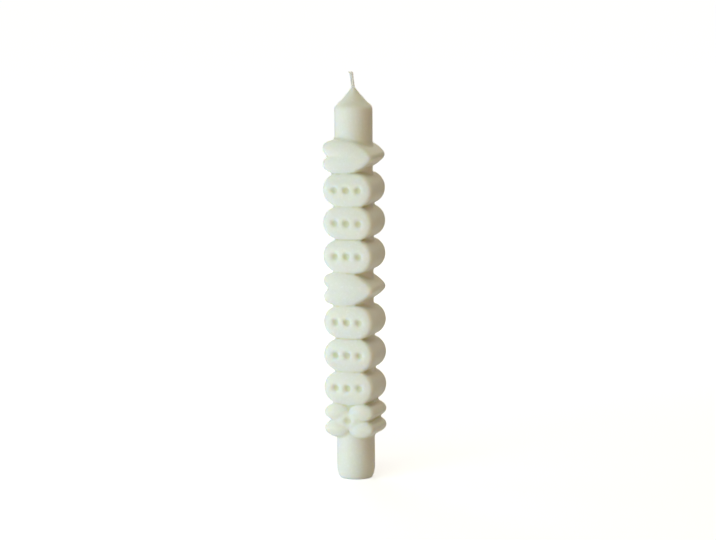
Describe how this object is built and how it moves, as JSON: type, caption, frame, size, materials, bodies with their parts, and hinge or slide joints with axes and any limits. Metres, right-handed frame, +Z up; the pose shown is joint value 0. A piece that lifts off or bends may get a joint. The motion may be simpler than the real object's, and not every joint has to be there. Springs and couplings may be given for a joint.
{
  "type": "taper candle",
  "caption": "Straight taper candle with a pointed tip, a plain foot and a column of puffy ornaments cast right through the shaft, with a braided cotton wick.",
  "frame": {"origin": "centre of the flat foot, on the surface that the candle stands on", "axes": "+Z up the shaft to the wick; the faces of the ornaments look along -Y and +Y, and the ornaments spread along X"},
  "size_m": [0.0306, 0.0276, 0.2344],
  "materials": {
    "wax": "ivory wax, satin, slightly translucent",
    "cotton": "braided cotton, waxed"
  },
  "bodies": {
    "root": {"wax_body": "wax", "wick": "cotton"}
  },
  "joints": []
}
